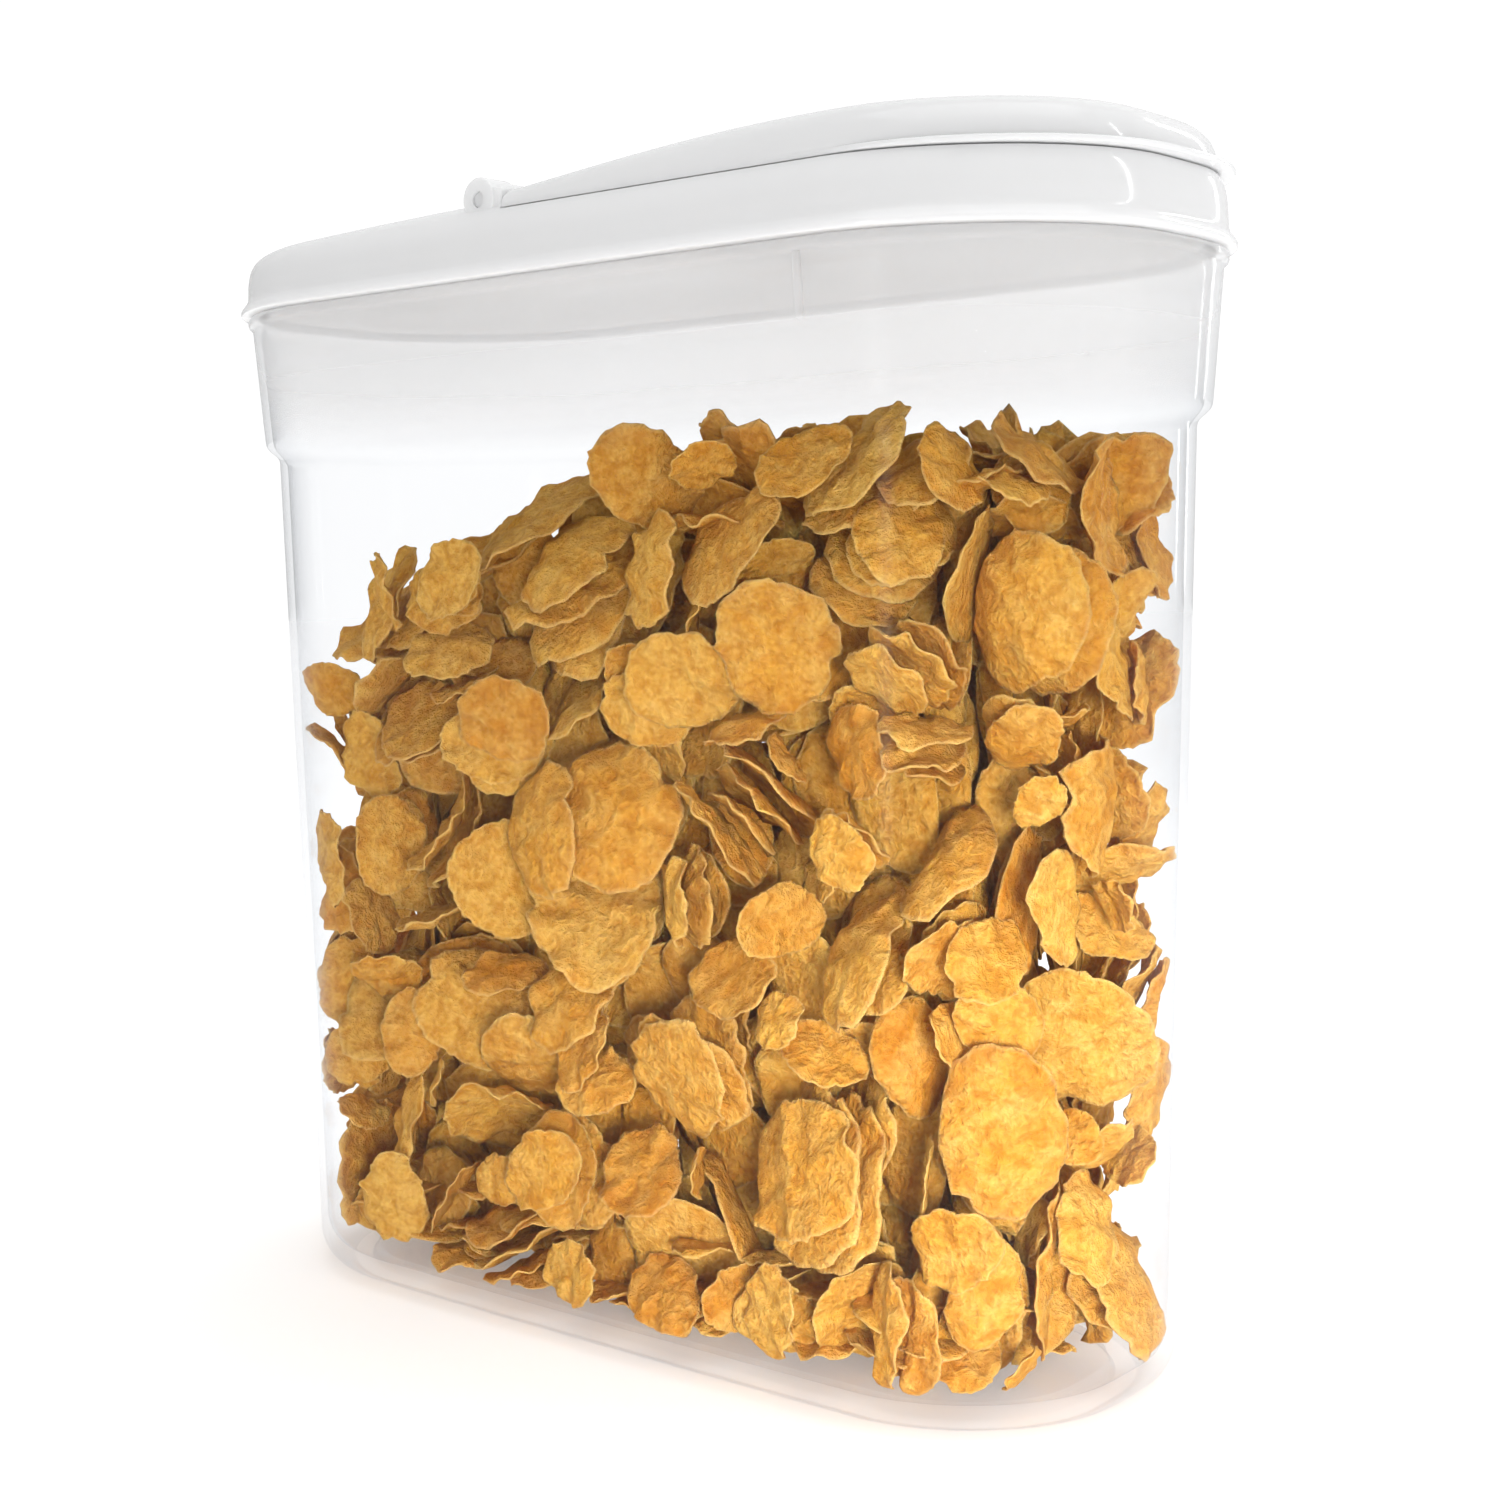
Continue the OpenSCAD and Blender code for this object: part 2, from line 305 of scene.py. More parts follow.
lid_prof = smooth_profile([(229.6, 7.55), (229.75, 7.8), (230.1, 7.93), (230.55, 7.9), (231.0, 7.68), (231.7, 7.15), (232.5, 6.55), (233.6, 6.2), (235, 6.1), (236.5, 6.05),
                           (239.6, 5.75), (241.9, 5.2), (243.2, 4.6), (244.3, 3.6), (245.2, 2.0), (245.8, -0.4), (246.1, -4), (246.3, -12), (246.4, -26)], 4)
lid = loft("lid_moulding", [warp(lplan(o), z) for z, o in lid_prof])
boolean(lid, cube("seat", FLAP_X - 0.4, -80, SEAT, 200, 80, SEAT + 20))
boolean(lid, cube("trough", HINGE_X - 5.2, -43.4, 241.2, HINGE_X + 8.8, 43.4, 262, bevel=0.6))
boolean(lid, loft("hollow", [flat(lplan(o), z) for z, o in [(220, 0), (238.4, 0), (239.0, -0.3), (239.4, -1), (239.7, -4), (239.7, -26)]]))
front_hollow = loft("front_hollow", [flat(lplan(o), z) for z, o in [(230, -0.1), (239.6, -0.1), (240.6, -0.5), (241.2, -1.4), (241.7, -4), (241.7, -26)]])
boolean(front_hollow, cube("front_part", -4, -80, 220, 156, 80, 260), "INTERSECT")
boolean(lid, front_hollow)
rear_hollow = loft("rear_hollow", [warp(lplan(o), z) for z, o in [(230, -0.1), (240.6, -0.1), (242.8, -1.4), (243.9, -4), (244.4, -12), (244.6, -26)]])
boolean(rear_hollow, cube("rear_part", -222, -80, 220, HINGE_X - 7, 80, 260), "INTERSECT")
boolean(lid, rear_hollow)
boolean(lid, loft("channel", [flat(lplan(o), z) for z, o in [(220, 4.35), (238.4, 4.35), (238.4, 1.55), (220, 1.55)]], ring=True))
boolean(lid, loft("below", [flat(lplan(3), 220), flat(lplan(3), 231)]))
for m in (-1, 1):
    y0, y1 = (43.6, 51.2) if m > 0 else (-51.2, -43.6)
    boolean(lid, rod("knuckle", HINGE_X, HINGE_Z, 4.6, y0, y1, bevel=0.5), "UNION")
    boolean(lid, cube("knuckle_foot", HINGE_X - 4.6, min(m * 43.6, m * 50.2), 241.8, HINGE_X + 4.6, max(m * 43.6, m * 50.2), 246), "UNION")
    boolean(lid, cube("knuckle_arm", HINGE_X, min(m * 43.6, m * 50.8), 241.8, HINGE_X + 6.4, max(m * 43.6, m * 50.8), 248, bevel=0.4), "UNION")
boolean(lid, prism("mouth_wall", mplan(1.5), 238.6, 242.6), "UNION")
boolean(lid, prism("mouth", mplan(0), 225, 255))
boolean(lid, rod("bore", HINGE_X, HINGE_Z, 1.65, -80, 80))
tidy(lid)


# ------------------------------------------------------------------ flap
def rise(x):
    return 5.4 + 6.0 * np.sin(np.pi / 2 * np.clip((x - FLAP_X) / 78, 0, 1))


def puff(p, z):
    return np.column_stack([p, SEAT + 0.3 + (z - SEAT - 0.3) * rise(p[:, 0]) / 11.4])


flap_out = smooth_profile([(243.7, 4.2), (246.4, 4.0), (248.8, 3.3), (250.8, 2.0), (252.3, 0), (253.3, -2.6), (253.9, -6), (254.4, -12), (254.8, -24)], 6)
flap_in = [(240.4, 2.5), (246.2, 2.3), (248.2, 1.6), (249.8, 0.4), (250.9, -1.4), (251.6, -3.8), (252.1, -7), (252.5, -13), (252.8, -24)]
flap = loft("flap_moulding", [puff(lplan(o), z) for z, o in flap_out])
boolean(flap, cube("rear_cut", -200, -80, 200, FLAP_X, 80, 280))
hollow = loft("flap_hollow", [puff(lplan(o), z) for z, o in flap_in])
boolean(hollow, cube("rear_wall", -200, -80, 200, FLAP_X + 1.8, 80, 280))
boolean(flap, hollow)
seal = prism("seal_wall", mplan(-1.6), 239.5, 258)
boolean(seal, prism("seal_in", mplan(-3.2), 239, 259))
limit = loft("limit", [flat(lplan(4.2), 230)] + [puff(lplan(o - 0.4), z - 0.6) for z, o in flap_out])
boolean(seal, limit, "INTERSECT")
boolean(flap, seal, "UNION")


def lip_loop(o, shift, z):
    return flat(lplan(o) + np.array([shift, 0]), z)


lip = loft("lip", [lip_loop(3.75, LIP, 243.7), lip_loop(4.05, LIP, 243.78), lip_loop(4.2, LIP, 244.05), lip_loop(4.2, LIP, 244.45), lip_loop(4.0, LIP, 244.85), lip_loop(3.4, LIP, 245.05),
                   lip_loop(4.2, 0, 245.1), lip_loop(4.2, 0, 243.7)][:6])
boolean(lip, loft("lip_in", [flat(lplan(3), 240), flat(lplan(3), 250)]))
boolean(lip, cube("lip_rear", -200, -80, 230, 60, 80, 260))
boolean(flap, lip, "UNION")
barrel = rod("barrel", HINGE_X, HINGE_Z, 4.2, -43.2, 43.2, bevel=0.3)
boolean(flap, barrel, "UNION")
boolean(flap, cube("web", HINGE_X, -43.2, 244, FLAP_X + 1, 43.2, 248.2, bevel=0.3), "UNION")
boolean(flap, rod("pin_bore_a", HINGE_X, HINGE_Z, 1.6, 34, 54))
boolean(flap, rod("pin_bore_b", HINGE_X, HINGE_Z, 1.6, -54, -34))
tidy(flap)

# ------------------------------------------------------------------ hinge pins and seals
pin_l = tidy(rod("pin_left", HINGE_X, HINGE_Z, 1.6, 34, 50.8, bevel=0.3))
pin_r = tidy(rod("pin_right", HINGE_X, HINGE_Z, 1.6, -50.8, -34, bevel=0.3))
rim_seal = tidy(loft("rim_seal", [flat(lplan(o), z) for z, o in [(236.4, 3.9), (236.6, 4.1), (237.2, 4.15), (238.2, 4.15), (238.4, 4.0), (238.4, 1.9), (238.2, 1.75), (237.2, 1.75), (236.6, 1.8), (236.4, 2.0)]], ring=True))
mouth_seal = tidy(loft("mouth_seal", [flat(mplan(o), z) for z, o in [(241.2, -0.7), (241.4, -0.45), (242.0, -0.4), (242.6, -0.45), (242.8, -0.7), (242.8, -1.6), (241.2, -1.6)]], ring=True))

# ------------------------------------------------------------------ loose cereal: each flake is laid against the wall or on the heap until it touches what is already there
rng = np.random.default_rng(23)
KINDS = 16
STACKS = 46
FOOT_Z = 5.3


def flake_kind(k):
    """One flake's rules: a ragged oval outline, a curl, blisters and a wavy rim. Millimetres."""
    r = np.random.default_rng(100 + k)
    a = r.uniform(12.0, 18.5)
    b = a * r.uniform(0.66, 0.94)
    low = [(m, r.uniform(0.015, 0.07) / (m - 1), r.uniform(0, 6.283)) for m in (2, 3, 4, 5)]
    high = [(m, r.uniform(0.004, 0.013), r.uniform(0, 6.283)) for m in (7, 9, 12, 15, 19, 23, 26)]
    notch = [(r.uniform(0, 6.283), r.uniform(0.04, 0.15), r.uniform(0.08, 0.22)) for _ in range(r.integers(1, 4))]
    curl = (r.uniform(0.002, 0.016), r.uniform(-0.006, 0.014), r.uniform(-0.008, 0.008))
    waves = [(r.uniform(0.40, 1.1), r.uniform(0, 6.283), r.uniform(0, 6.283), r.uniform(0.12, 0.34)) for _ in range(8)]
    wavy = [(m, r.uniform(0.1, 0.5), r.uniform(0, 6.283)) for m in (3, 4, 5, 7, 11)]

    def radius(t):
        e = a * b / np.sqrt((b * np.cos(t)) ** 2 + (a * np.sin(t)) ** 2)
        s = 1 + sum(q * np.cos(m * t + p) for m, q, p in low) + sum(q * np.cos(m * t + p) for m, q, p in high)
        for c, d, w in notch:
            s = s - d * np.exp(-(np.angle(np.exp(1j * (t - c))) / w) ** 2)
        return e * s

    def height(x, y, t, s):
        h = curl[0] * x * x + curl[1] * y * y + curl[2] * x * y - curl[0] * a * a / 4
        h = h + sum(q * np.cos(kk * (x * math.cos(d) + y * math.sin(d)) + p) for kk, d, p, q in waves)
        return h + s ** 3 * sum(q * np.cos(m * t + p) for m, q, p in wavy)
    return radius, height


def flake_mesh(kind, segs, rings):
    """Vertices, faces and rim shares of one flake, in millimetres about its middle."""
    radius, height = kind
    th = np.arange(segs) * 2 * math.pi / segs
    R = radius(th)
    verts, rim = [], []
    for side in (1, -1):
        for s in rings:
            x, y = R * s * np.cos(th), R * s * np.sin(th)
            thick = (0.55 * (1 - s ** 4) + 0.20) + 0.14 * np.cos(0.9 * x + side) * np.cos(0.8 * y) * (1 - s ** 2)
            verts.append(np.column_stack([x, y, height(x, y, th, s) + side * thick]))
            rim.append(np.full(segs, s))
        verts.append(np.array([[0, 0, float(height(0.0, 0.0, 0.0, 0.0)) + side * 0.75]]))
        rim.append(np.zeros(1))
    n, per = len(rings), len(rings) * segs + 1
    quads, tris = [], []
    i = np.arange(segs)
    j = (i + 1) % segs
    for side in (0, 1):
        o = side * per
        for q in range(n - 1):
            f = np.column_stack([o + q * segs + i, o + (q + 1) * segs + i, o + (q + 1) * segs + j, o + q * segs + j])
            quads.append(f if side == 0 else f[:, ::-1])
        f = np.column_stack([np.full(segs, o + per - 1), o + i, o + j])
        tris.append(f if side == 0 else f[:, ::-1])
    top, low = (n - 1) * segs, per + (n - 1) * segs
    quads.append(np.column_stack([top + i, low + i, low + j, top + j]))
    return np.vstack(verts), np.vstack(quads), np.vstack(tris), np.concatenate(rim)


def turned(tilt, about, spin, flip):
    """Spin in the plane, flip over or not, then tilt by an angle about a direction in the plane."""
    m = Matrix.Rotation(tilt, 3, Vector((math.cos(about), math.sin(about), 0))) @ Matrix.Rotation(spin, 3, "Z")
    if flip:
        m = m @ Matrix.Rotation(math.pi, 3, "X")
    return np.array(m)


class Heap:
    """A field of heights over (u, v), in cells, on which flakes come to rest one after another."""
    cell = 1.4

    def __init__(self, ulen, vlen, floor, wrap):
        self.nu, self.nv, self.wrap = int(ulen / self.cell) + 1, int(vlen / self.cell) + 1, wrap
        self.h = np.full((self.nu, self.nv), 0.0) + floor
        self.ulen = ulen

    def cells(self, u, v):
        iu = np.floor(u / self.cell).astype(int)
        iu = iu % self.nu if self.wrap else np.clip(iu, 0, self.nu - 1)
        return iu, np.clip(np.floor(v / self.cell).astype(int), 0, self.nv - 1)

    def land(self, top, under, u, v, most, gap=0.4):
        """Lowers the flake's sampled under side at (u, v) until it touches, and returns its depth. It stays, and raises the field, if that is no deeper than most."""
        iu, iv = self.cells(u + under[:, 0], v + under[:, 1])
        t = float(np.max(self.h[iu, iv] - under[:, 2])) + gap
        if t <= most:
            ju, jv = self.cells(u + top[:, 0], v + top[:, 1])
            np.maximum.at(self.h, (ju, jv), top[:, 2] + t)
        return t

    def lean(self, u, v, r):
        """The slope of the field round (u, v)."""
        k = max(1, int(r / self.cell))
        out = []
        for du, dv in ((k, 0), (-k, 0), (0, k), (0, -k)):
            i, j = self.cells(np.array([u + du * self.cell]), np.array([v + dv * self.cell]))
            out.append(self.h[i, j][0])
        return (out[0] - out[1]) / (2 * k * self.cell), (out[2] - out[3]) / (2 * k * self.cell)


def surface_z(x):
    """Height of the cereal along the container."""
    return np.interp(x, [-112, -100, -86, -71, -47, -28, -10, 14, 66, 89, 112], [149, 155, 161, 168, 178, 187, 196, 199, 198, 196, 198])


# the inner wall as a track: arc length, point and inward normal at the ledge, and how far in the wall moves towards the foot
TRACK = plan(BODY_L - 4.6, BODY_W - 4.6, CORNER - 2.3)
closed = np.vstack([TRACK, TRACK[:1]])
STEP = np.linalg.norm(np.diff(closed, axis=0), axis=1)
ARC = np.concatenate([[0], np.cumsum(STEP)])
AROUND = ARC[-1]
d = np.roll(TRACK, -1, 0) - np.roll(TRACK, 1, 0)
INWARD = np.column_stack([-d[:, 1], d[:, 0]]) / np.linalg.norm(d, axis=1)[:, None]


def on_track(u):
    u = np.mod(u, AROUND)
    p = np.column_stack([np.interp(u, ARC, closed[:, c]) for c in (0, 1)])
    closed_n = np.vstack([INWARD, INWARD[:1]])
    n = np.column_stack([np.interp(u, ARC, closed_n[:, c]) for c in (0, 1)])
    return p, n / np.linalg.norm(n, axis=1)[:, None]


def inset(z):
    """How far inside the track the inner wall stands at height z, by the draft and the rounded base."""
    t = np.minimum(1, z / 195.5)
    k = np.clip(1 - (z - 5) / 6, 0, 1)
    return 3.0 * (1 - t) + 6 - 6 * np.sqrt(np.clip(1 - k * k, 0, 1))


def clearance(v):
    """The least distance that points have inside the inner wall."""
    gap = v[:, None, :2] - TRACK[None]
    near = np.argmin((gap ** 2).sum(2), axis=1)
    return float(((gap[np.arange(len(v)), near] * INWARD[near]).sum(1) - inset(v[:, 2])).min())


def wall_place(v, u, z, t):
    """Flake points (along, up, inward) laid on the wall at (u, z), depth t, in the row frame."""
    zz = np.maximum(z + v[:, 1], 5.3)
    p, n = on_track(u + v[:, 0])
    depth = np.maximum(v[:, 2] + t, 0.05) + inset(zz)
    slim = 1.0 / (1.0 + np.maximum(depth - 26, 0) * 0.02)
    return np.column_stack([p + n * (depth * slim)[:, None], zz])


def build_cereal():
    kinds = [flake_kind(k) for k in range(KINDS)]
    fine = [flake_mesh(k, 56, (0.3, 0.56, 0.78, 0.93, 1.0)) for k in kinds]
    rough = [flake_mesh(k, 24, (0.45, 0.8, 1.0)) for k in kinds]
    probe = []
    for k in kinds:
        v = flake_mesh(k, 40, tuple(np.linspace(0.08, 1.0, 13)))[0]
        probe.append((v[:len(v) // 2], v[len(v) // 2:]))
    placed = []

    def sides(k, rot, scale):
        a, b = (q * scale @ rot.T for q in probe[k])
        return (a, b) if a[:, 2].mean() > b[:, 2].mean() else (b, a)

    def keep(verts, k, mesh):
        v, quads, tris, rim = mesh
        placed.append((verts, quads, tris, rim, rng.uniform(0, 1), rng.uniform(0, 1)))

    def best(field, tries, most, spot, wild, size=(0.84, 1.1)):
        """Of some random flakes and places, the one that comes to rest deepest in the gaps."""
        found = None
        for _ in range(tries):
            k = int(rng.integers(KINDS))
            scale = rng.uniform(*size)
            u, v = spot()
            gu, gv = field.lean(u, v, 8)
            tilt = -min(0.9, math.atan(math.hypot(gu, gv)) * 0.9)
            about = math.atan2(gv, gu) + math.pi / 2
            if wild:
                tilt, about = rng.uniform(*wild), rng.uniform(0, 6.283)
            else:
                tilt += rng.normal(0, 0.18)
                about += rng.normal(0, 0.4)
            spin, flip = rng.uniform(0, 6.283), rng.uniform() < 0.5
            rot = turned(tilt, about, spin, flip)
            top, under = sides(k, rot, scale)
            if field.wrap:
                v = max(v, FOOT_Z - float(under[:, 1].min()))
            t = field.land(top, under, u, v, -1e9)
            if found is None or t < found[0]:
                found = (t, k, scale, u, v, tilt, about, spin, flip, top, under, rot)
        t, k, scale, u, v, tilt, about, spin, flip, top, under, rot = found
        if t > most(u):
            return None
        field.land(top, under, u, v, 1e9)
        return t, k, scale, u, v, tilt, about, spin, flip, rot

    def wall_spot():
        u = rng.uniform(0, AROUND)
        p, _ = on_track(np.array([u]))
        return u, FOOT_Z + 2 + rng.uniform(0, 1) * (float(surface_z(p[0, 0])) - 17 - FOOT_Z)

    wall = Heap(AROUND, 215, 0.0, True)

    def lay(k, rot, scale, u, z, t):
        mesh = (fine if t < 15 else rough)[k]
        keep(wall_place(mesh[0] * scale @ rot.T, u, z, t), k, mesh)

    def stack(k, scale, u, z, tilt, about, spin, flip, step, count, most):
        """More flakes of one shape beside the last, leaning alike, until one would stand too deep."""
        side = -1 if tilt > 0 else 1
        for _ in range(count):
            gone = step * rng.uniform(0.6, 1.5)
            u, z = u - side * math.sin(about) * gone + rng.normal(0, 2.2), z + side * math.cos(about) * gone + rng.normal(0, 0.6)
            tilt, spin, size = tilt + rng.normal(0, 0.10), rng.uniform(0, 6.283), scale * rng.uniform(0.82, 1.08)
            k = int(rng.integers(KINDS)) if rng.uniform() < 0.6 else k
            rot = turned(tilt, about + rng.normal(0, 0.12), spin, flip)
            top, under = sides(k, rot, size)
            if z + float(under[:, 1].min()) < FOOT_Z:
                return
            t = wall.land(top, under, u, z, most)
            if t > most:
                return
            lay(k, rot, size, u, z, t)

    # leaning stacks with their edges to the wall first, then leaning flakes, then flakes that fill the gaps
    for _ in range(STACKS):
        k, scale, (u, z) = int(rng.integers(KINDS)), rng.uniform(0.88, 1.1), wall_spot()
        x, y = np.abs(on_track(np.array([u]))[0][0])
        if x > 88 and y > 22:
            continue  # flakes lie flatter in the corners
        tilt = rng.uniform(0.75, 1.32) * (1 if rng.uniform() < 0.6 else -1)
        about = rng.normal(0, 0.4) if rng.uniform() < 0.72 else rng.uniform(0, 6.283)
        z = max(z, FOOT_Z + 14)
        stack(k, scale, u, z, tilt, about, rng.uniform(0, 6.283), rng.uniform() < 0.5, rng.uniform(2.4, 4.4), int(rng.integers(2, 6)), 19)
    middle = (np.arange(wall.nu) + 0.5) * wall.cell
    high = np.array([float(surface_z(q)) for q in on_track(middle)[0][:, 0]]) - 13
    level = (np.arange(wall.nv) + 0.5) * wall.cell
    body = (level[None] > FOOT_Z + 1) & (level[None] < high[:, None])

    def fill(goes, tries, most, wild=None):
        for _ in range(goes):
            got = best(wall, tries, lambda u: most, wall_spot, wild)
            if got is None:
                continue
            t, k, scale, u, z, tilt, about, spin, flip, rot = got
            lay(k, rot, scale, u, z, t)
            if rng.uniform() < 0.22:
                stack(k, scale, u, z, tilt, about, spin, flip, rng.uniform(1.0, 3.6), int(rng.integers(1, 4)), 24)

    def reach_in(goes, thin, size, steep, tries, reach, most):
        """Flakes aimed at the places that are still bare, turned so that an edge comes near the wall."""
        for _ in range(goes):
            low = np.argwhere(body & (wall.h < thin))
            if not len(low):
                break
            iu, iv = low[int(rng.integers(len(low)))]
            found = None
            for _ in range(tries):
                k, scale = int(rng.integers(KINDS)), rng.uniform(*size)
                rot = turned(rng.uniform(0, steep), rng.uniform(0, 6.283), rng.uniform(0, 6.283), rng.uniform() < 0.5)
                top, under = sides(k, rot, scale)
                u, z = middle[iu] + rng.normal(0, 3), level[iv] + rng.normal(0, 3)
                z = max(z, FOOT_Z - float(under[:, 1].min()))
                t = wall.land(top, under, u, z, -1e9)
                near = t + float(under[:, 2].min())
                if found is None or near < found[0]:
                    found = (near, t, k, scale, u, z, top, under, rot)
            near, t, k, scale, u, z, top, under, rot = found
            if near <= reach and t + float(top[:, 2].max()) <= most:
                wall.land(top, under, u, z, 1e9)
                lay(k, rot, scale, u, z, t)

    fill(110, 3, 17, (0.3, 0.85))
    fill(1400, 10, 9)
    reach_in(1100, 4, (0.55, 0.95), 1.2, 12, 5, 45)
    fill(1300, 9, 38)
    reach_in(420, 14, (0.9, 1.1), 0.35, 6, 60, 54)
    laid = len(placed)

    # flat flakes on the floor of the container, seen past the rounded foot
    bed = Heap(236, 100, FOOT_Z - 0.2, False)
    foot = (FOOT_L / 2 - 7.5, FOOT_W / 2 - 7.5)
    for _ in range(1500):
        k, scale = int(rng.integers(KINDS)), rng.uniform(0.6, 1.0)
        rot = turned(rng.normal(0, 0.14), rng.uniform(0, 6.283), rng.uniform(0, 6.283), rng.uniform() < 0.5)
        top, under = sides(k, rot, scale)
        x, y = rng.uniform(-1, 1) * (foot[0] - 10), rng.choice((-1, 1)) * (foot[1] - rng.uniform(7, 15)) if rng.uniform() < 0.75 else rng.uniform(-1, 1) * 20
        px, py = np.abs(x + under[:, 0]), np.abs(y + under[:, 1])
        if px.max() > foot[0] or py.max() > foot[1] or (np.hypot(np.maximum(px - foot[0] + 30, 0), np.maximum(py - foot[1] + 30, 0)) > 30).any():
            continue
        t = bed.land(top, under, x + 118, y + 50, 24)
        if t <= 24:
            mesh = (fine if t < 10 else rough)[k]
            verts = mesh[0] * scale @ rot.T + np.array([x, y, t])
            if clearance(verts) > 0.4:
                keep(verts, k, mesh)
    on_floor = len(placed) - laid

    heap = Heap(236, 100, 0.0, False)
    xs = (np.arange(heap.nu) + 0.5) * heap.cell - 118
    heap.h = np.repeat((surface_z(xs) - 24)[:, None], heap.nv, 1)

    def heap_spot():
        x = rng.uniform(-94, 100)
        reach = math.sqrt(max(0.05, 1 - (max(abs(x) - 72, 0) / 44) ** 2))
        return x + 118, 50 + rng.uniform(-1, 1) * 31 * reach

    for n in range(1100):
        wild = (0.5, 1.15) if rng.uniform() < 0.2 else None
        got = best(heap, 2 if wild else 7, lambda u: float(surface_z(u - 118)) - 5, heap_spot, wild)
        if got is None:
            continue
        t, k, scale, u, v, tilt, about, spin, flip, rot = got
        mesh = fine[k]
        verts = mesh[0] * scale @ rot.T + np.array([u - 118, v - 50, t])
        if clearance(verts) > 0.4:
            keep(verts, k, mesh)
    groups = {}
    for item in placed:
        groups.setdefault(min(5, max(0, int((item[0][:, 0].mean() + 114) / 38))), []).append(item)
    pieces = []
    for g, items in sorted(groups.items()):
        counts = np.cumsum([0] + [len(i[0]) for i in items])
        verts = np.vstack([i[0] for i in items]) * MM
        quads = np.vstack([i[1] + c for i, c in zip(items, counts)])
        tris = np.vstack([i[2] + c for i, c in zip(items, counts)])
        me = bpy.data.meshes.new(f"flakes_{g}")
        me.vertices.add(len(verts))
        me.vertices.foreach_set("co", verts.astype(np.float32).ravel())
        me.loops.add(quads.size + tris.size)
        me.loops.foreach_set("vertex_index", np.concatenate([quads.ravel(), tris.ravel()]).astype(np.int32))
        me.polygons.add(len(quads) + len(tris))
        me.polygons.foreach_set("loop_start", np.concatenate([np.arange(len(quads)) * 4, quads.size + np.arange(len(tris)) * 3]).astype(np.int32))
        me.update(calc_edges=True)
        for name, pick in (("rim", lambda i: i[3]), ("tone", lambda i: np.full(len(i[0]), i[4])), ("toast", lambda i: np.full(len(i[0]), i[5]))):
            attr = me.attributes.new(name, "FLOAT", "POINT")
            attr.data.foreach_set("value", np.concatenate([pick(i) for i in items]).astype(np.float32))
        me.validate()
        bm = bmesh.new()
        bm.from_mesh(me)
        bmesh.ops.recalc_face_normals(bm, faces=bm.faces)
        bm.to_mesh(me)
        bm.free()
        me.shade_smooth()
        ob = bpy.data.objects.new(f"corn_flakes_{g}", me)
        scene.collection.objects.link(ob)
        pieces.append(ob)
    print("FLAKES", laid, on_floor, len(placed) - laid - on_floor, "faces", [len(o.data.polygons) for o in pieces], "depth", round(float(np.percentile(wall.h[:, 8:90], 10)), 1))
    return pieces


flakes = build_cereal()


# ------------------------------------------------------------------ materials
class Nodes:
    """A short way to write a node tree."""
    def __init__(self, name):
        self.mat = bpy.data.materials.new(name)
        self.mat.use_nodes = True
        self.nt = self.mat.node_tree
        self.nt.nodes.clear()
        self.out = self.add("ShaderNodeOutputMaterial")

    def add(self, kind, **props):
        n = self.nt.nodes.new(kind)
        for k, v in props.items():
            setattr(n, k, v)
        return n

    def link(self, a, b):
        self.nt.links.new(a, b)

    def coords(self):
        return self.add("ShaderNodeTexCoord").outputs["Object"]

    def noise(self, scale, detail=3.0, rough=0.5, vec=None, distort=0.0):
        n = self.add("ShaderNodeTexNoise")
        n.inputs["Scale"].default_value = scale
        n.inputs["Detail"].default_value = detail
        n.inputs["Roughness"].default_value = rough
        n.inputs["Distortion"].default_value = distort
        self.link(vec if vec is not None else self.coords(), n.inputs["Vector"])
        return n.outputs["Fac"]

    def ramp(self, fac, stops, smooth=False):
        n = self.add("ShaderNodeValToRGB")
        if smooth:
            n.color_ramp.interpolation = "EASE"
        e = n.color_ramp.elements
        while len(e) < len(stops):
            e.new(0.5)
        for el, (p, c) in zip(e, stops):
            el.position = p
            el.color = (*c, 1) if len(c) == 3 else c
        self.link(fac, n.inputs["Fac"])
        return n.outputs["Color"]

    def math(self, op, a, b=None, clamp=False):
        n = self.add("ShaderNodeMath", operation=op)
        n.use_clamp = clamp
        for i, v in enumerate((a, b)):
            if v is None:
                continue
            if isinstance(v, (int, float)):
                n.inputs[i].default_value = v
            else:
                self.link(v, n.inputs[i])
        return n.outputs[0]

    def mix(self, fac, a, b, blend="MIX"):
        n = self.add("ShaderNodeMix", data_type="RGBA", blend_type=blend)
        for s, v in ((n.inputs["Factor"], fac), (n.inputs[6], a), (n.inputs[7], b)):
            if isinstance(v, (int, float)):
                s.default_value = v
            elif isinstance(v, tuple):
                s.default_value = (*v, 1)
            else:
                self.link(v, s)
        return n.outputs[2]

    def map(self, v, lo, hi, a=0.0, b=1.0):
        n = self.add("ShaderNodeMapRange")
        self.link(v, n.inputs["Value"])
        for s, x in (("From Min", lo), ("From Max", hi), ("To Min", a), ("To Max", b)):
            n.inputs[s].default_value = x
        return n.outputs["Result"]

    def bump(self, height, strength, distance):
        n = self.add("ShaderNodeBump")
        n.inputs["Strength"].default_value = strength
        n.inputs["Distance"].default_value = distance
        self.link(height, n.inputs["Height"])
        return n.outputs["Normal"]

    def attr(self, name):
        return self.add("ShaderNodeAttribute", attribute_name=name).outputs["Fac"]


